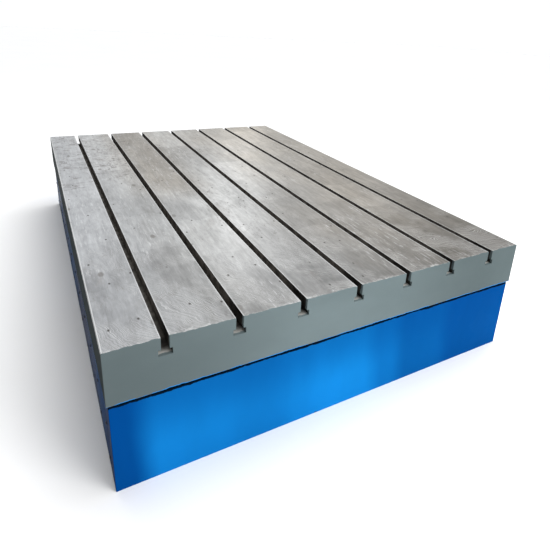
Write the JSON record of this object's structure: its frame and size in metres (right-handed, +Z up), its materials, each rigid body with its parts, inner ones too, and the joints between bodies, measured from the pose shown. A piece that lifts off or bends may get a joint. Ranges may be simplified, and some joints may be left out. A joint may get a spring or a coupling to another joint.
{
  "type": "rotary table",
  "caption": "Heavy rectangular rotary table with a T-slotted iron platen turning on a plain box base, with geared bearing, clamps and levelling screws.",
  "frame": {"origin": "on the floor under the turning axis, at the middle of the outline", "axes": "+Z up along the turning axis, +X across the T-slots, +Y along the T-slots towards the rear, where the covers and connectors are"},
  "size_m": [1.5, 2.3, 0.45],
  "materials": {
    "ground_iron": "top ground bare with fine grinding marks, sides painted smooth grey",
    "blue_paint": "gloss",
    "bearing_steel": "ground",
    "gear_steel": "hobbed, oiled",
    "zinc_steel": "zinc plated",
    "black_steel": "black oxide, satin",
    "drive_grey": "cast, semi-matt",
    "motor_black": "semi-gloss",
    "seal_rubber": "matt",
    "pipe_copper": "drawn",
    "fitting_brass": "turned",
    "plug_plastic": "moulded"
  },
  "bodies": {
    "base": {"base_casting": "blue_paint", "bearing_outer_ring": "bearing_steel", "chip_guard_ring": "zinc_steel", "drive_plate": "black_steel", "gearbox_housing": "drive_grey", "servo_motor": "motor_black", "encoder_bracket": "black_steel", "rear_cover": "blue_paint", "service_panel": "black_steel", "power_connector": "zinc_steel", "encoder_connector": "zinc_steel", "clamp_pressure_port": "fitting_brass", "clamp_return_port": "fitting_brass", "clamp_oil_line": "pipe_copper", "clamp_caliper_1": "drive_grey", "clamp_caliper_2": "drive_grey", "clamp_caliper_3": "drive_grey", "clamp_caliper_4": "drive_grey", "levelling_cover_left": "blue_paint", "levelling_cover_right": "blue_paint", "lifting_plug_left_front": "plug_plastic", "lifting_plug_left_rear": "plug_plastic", "lifting_plug_right_front": "plug_plastic", "lifting_plug_right_rear": "plug_plastic", "lock_nut_left_1": "zinc_steel", "lock_nut_left_2": "zinc_steel", "lock_nut_left_3": "zinc_steel", "lock_nut_right_1": "zinc_steel", "lock_nut_right_2": "zinc_steel", "lock_nut_right_3": "zinc_steel"},
    "table": {"platen": "ground_iron", "geared_inner_ring": "gear_steel", "clamp_disc": "bearing_steel", "encoder_ring": "bearing_steel", "dust_seal": "seal_rubber"},
    "roller_cage": {"roller_cage": "bearing_steel"},
    "drive_pinion": {"drive_pinion": "gear_steel"},
    "clamp_shoe_1": {"clamp_shoe_1": "bearing_steel"},
    "clamp_shoe_2": {"clamp_shoe_2": "bearing_steel"},
    "clamp_shoe_3": {"clamp_shoe_3": "bearing_steel"},
    "clamp_shoe_4": {"clamp_shoe_4": "bearing_steel"},
    "levelling_pad_left_1": {"levelling_pad_left_1": "zinc_steel"},
    "levelling_screw_left_1": {"levelling_screw_left_1": "black_steel"},
    "levelling_pad_left_2": {"levelling_pad_left_2": "zinc_steel"},
    "levelling_screw_left_2": {"levelling_screw_left_2": "black_steel"},
    "levelling_pad_left_3": {"levelling_pad_left_3": "zinc_steel"},
    "levelling_screw_left_3": {"levelling_screw_left_3": "black_steel"},
    "levelling_pad_right_1": {"levelling_pad_right_1": "zinc_steel"},
    "levelling_screw_right_1": {"levelling_screw_right_1": "black_steel"},
    "levelling_pad_right_2": {"levelling_pad_right_2": "zinc_steel"},
    "levelling_screw_right_2": {"levelling_screw_right_2": "black_steel"},
    "levelling_pad_right_3": {"levelling_pad_right_3": "zinc_steel"},
    "levelling_screw_right_3": {"levelling_screw_right_3": "black_steel"}
  },
  "joints": [
    {"name": "table_turn", "type": "hinge", "parent": "base", "child": "table", "pos_m": [0, 0, 0.268], "axis": [0, 0, 1], "continuous": true},
    {"name": "cage_turn", "type": "hinge", "parent": "base", "child": "roller_cage", "pos_m": [0, 0, 0.268], "axis": [0, 0, 1], "continuous": true},
    {"name": "pinion_spin", "type": "hinge", "parent": "base", "child": "drive_pinion", "pos_m": [0, 0.3, 0.266], "axis": [0, 0, 1], "continuous": true},
    {"name": "clamp_stroke_1", "type": "slide", "parent": "base", "child": "clamp_shoe_1", "axis": [0, 0, 1], "range_m": [0, 0.0015]},
    {"name": "clamp_stroke_2", "type": "slide", "parent": "base", "child": "clamp_shoe_2", "axis": [0, 0, 1], "range_m": [0, 0.0015]},
    {"name": "clamp_stroke_3", "type": "slide", "parent": "base", "child": "clamp_shoe_3", "axis": [0, 0, 1], "range_m": [0, 0.0015]},
    {"name": "clamp_stroke_4", "type": "slide", "parent": "base", "child": "clamp_shoe_4", "axis": [0, 0, 1], "range_m": [0, 0.0015]},
    {"name": "levelling_lift_left_1", "type": "slide", "parent": "base", "child": "levelling_pad_left_1", "axis": [0, 0, -1], "range_m": [0, 0.012]},
    {"name": "levelling_turn_left_1", "type": "hinge", "parent": "levelling_pad_left_1", "child": "levelling_screw_left_1", "pos_m": [-0.655, -0.95, 0.06], "axis": [0, 0, -1], "range_deg": [0, 1440]},
    {"name": "levelling_lift_left_2", "type": "slide", "parent": "base", "child": "levelling_pad_left_2", "axis": [0, 0, -1], "range_m": [0, 0.012]},
    {"name": "levelling_turn_left_2", "type": "hinge", "parent": "levelling_pad_left_2", "child": "levelling_screw_left_2", "pos_m": [-0.655, 0, 0.06], "axis": [0, 0, -1], "range_deg": [0, 1440]},
    {"name": "levelling_lift_left_3", "type": "slide", "parent": "base", "child": "levelling_pad_left_3", "axis": [0, 0, -1], "range_m": [0, 0.012]},
    {"name": "levelling_turn_left_3", "type": "hinge", "parent": "levelling_pad_left_3", "child": "levelling_screw_left_3", "pos_m": [-0.655, 0.95, 0.06], "axis": [0, 0, -1], "range_deg": [0, 1440]},
    {"name": "levelling_lift_right_1", "type": "slide", "parent": "base", "child": "levelling_pad_right_1", "axis": [0, 0, -1], "range_m": [0, 0.012]},
    {"name": "levelling_turn_right_1", "type": "hinge", "parent": "levelling_pad_right_1", "child": "levelling_screw_right_1", "pos_m": [0.655, -0.95, 0.06], "axis": [0, 0, -1], "range_deg": [0, 1440]},
    {"name": "levelling_lift_right_2", "type": "slide", "parent": "base", "child": "levelling_pad_right_2", "axis": [0, 0, -1], "range_m": [0, 0.012]},
    {"name": "levelling_turn_right_2", "type": "hinge", "parent": "levelling_pad_right_2", "child": "levelling_screw_right_2", "pos_m": [0.655, 0, 0.06], "axis": [0, 0, -1], "range_deg": [0, 1440]},
    {"name": "levelling_lift_right_3", "type": "slide", "parent": "base", "child": "levelling_pad_right_3", "axis": [0, 0, -1], "range_m": [0, 0.012]},
    {"name": "levelling_turn_right_3", "type": "hinge", "parent": "levelling_pad_right_3", "child": "levelling_screw_right_3", "pos_m": [0.655, 0.95, 0.06], "axis": [0, 0, -1], "range_deg": [0, 1440]}
  ],
  "couplings": [
    {"joint": "cage_turn", "follows": "table_turn", "ratio": 0.5},
    {"joint": "pinion_spin", "follows": "table_turn", "ratio": 5},
    {"joint": "clamp_stroke_2", "follows": "clamp_stroke_1", "ratio": 1},
    {"joint": "clamp_stroke_3", "follows": "clamp_stroke_1", "ratio": 1},
    {"joint": "clamp_stroke_4", "follows": "clamp_stroke_1", "ratio": 1},
    {"joint": "levelling_turn_left_1", "follows": "levelling_lift_left_1", "rad_per_m": 2094.4},
    {"joint": "levelling_turn_left_2", "follows": "levelling_lift_left_2", "rad_per_m": 2094.4},
    {"joint": "levelling_turn_left_3", "follows": "levelling_lift_left_3", "rad_per_m": 2094.4},
    {"joint": "levelling_turn_right_1", "follows": "levelling_lift_right_1", "rad_per_m": 2094.4},
    {"joint": "levelling_turn_right_2", "follows": "levelling_lift_right_2", "rad_per_m": 2094.4},
    {"joint": "levelling_turn_right_3", "follows": "levelling_lift_right_3", "rad_per_m": 2094.4}
  ]
}
